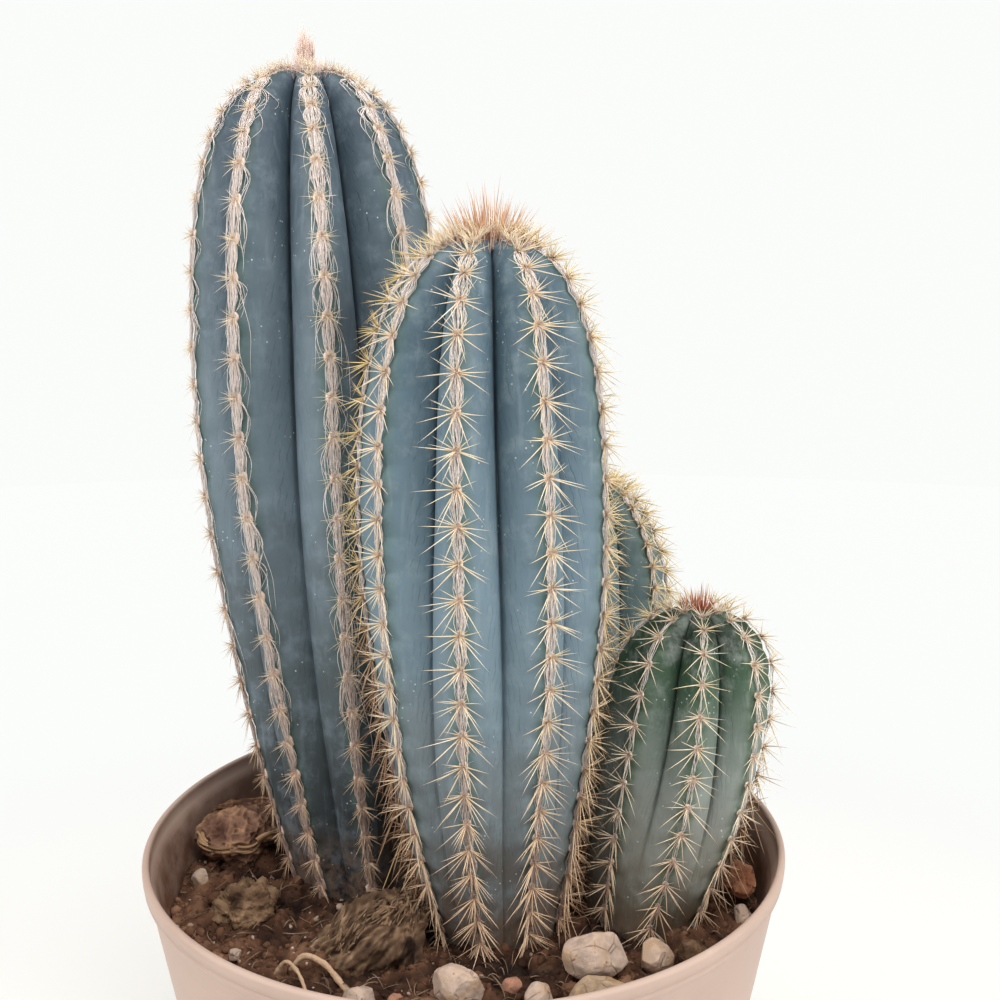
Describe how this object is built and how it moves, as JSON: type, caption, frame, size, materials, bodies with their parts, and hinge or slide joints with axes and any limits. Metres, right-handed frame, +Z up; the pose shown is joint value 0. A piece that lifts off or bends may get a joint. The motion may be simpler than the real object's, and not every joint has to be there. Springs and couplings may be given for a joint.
{
  "type": "potted tall cactus",
  "caption": "Cluster of upright blue ribbed columnar cacti with straw-coloured spines, in soil dressed with stones and bark, in a round tapered plastic nursery pot.",
  "frame": {"origin": "middle of the pot's foot, on the surface that the pot stands on", "axes": "+Z up, +X to the right, -Y towards the front, where the middle column stands nearest"},
  "size_m": [0.12, 0.12, 0.2448],
  "materials": {
    "pot_plastic": "satin, moulded",
    "soil": "rough, crumbly",
    "skin_tall": "waxy living plant skin with a fine bloom",
    "skin_front": "waxy living plant skin with a fine bloom",
    "skin_small": "waxy living plant skin, greener",
    "skin_back": "waxy living plant skin",
    "stone_pale": "worn, dusty",
    "stone_yellow": "worn, yellow stained",
    "stone_red": "worn, reddish",
    "peat": "fibrous, dry",
    "sandy_soil": "crumbly, sandy",
    "bark": "rough, dry",
    "bark_reddish": "rough, dry",
    "dry_root": "dry, fibrous",
    "spines": "thin hard spines, straw to golden",
    "wool": "short felt and fine combed hairs",
    "young_spines_pink": "soft young spines at the growing tip",
    "young_spines_orange": "stiff young spines at the growing tip"
  },
  "bodies": {
    "root": {"pot": "pot_plastic", "potting_soil": "soil", "stem_tall": "skin_tall", "stem_front": "skin_front", "stem_small": "skin_small", "stem_back": "skin_back", "stone_white_large": "stone_pale", "stone_yellow": "stone_yellow", "stone_white_small": "stone_pale", "stone_front_left": "stone_pale", "stone_front_mid": "stone_pale", "stone_front_far_left": "stone_pale", "pebble_red_mid": "stone_red", "pebble_red_left": "stone_red", "pebble_white_left": "stone_pale", "pebble_wall_left": "stone_pale", "pebble_wall_right": "stone_pale", "stone_back_large": "stone_pale", "stone_back_small": "stone_pale", "pebble_back_left": "stone_pale", "clod_peat": "peat", "clod_sandy": "sandy_soil", "clod_right": "sandy_soil", "bark_curl": "bark", "bark_red": "bark_reddish", "bark_chip_back": "bark", "bark_chip_right": "bark", "root_thick": "dry_root", "root_thin": "dry_root"}
  },
  "joints": []
}
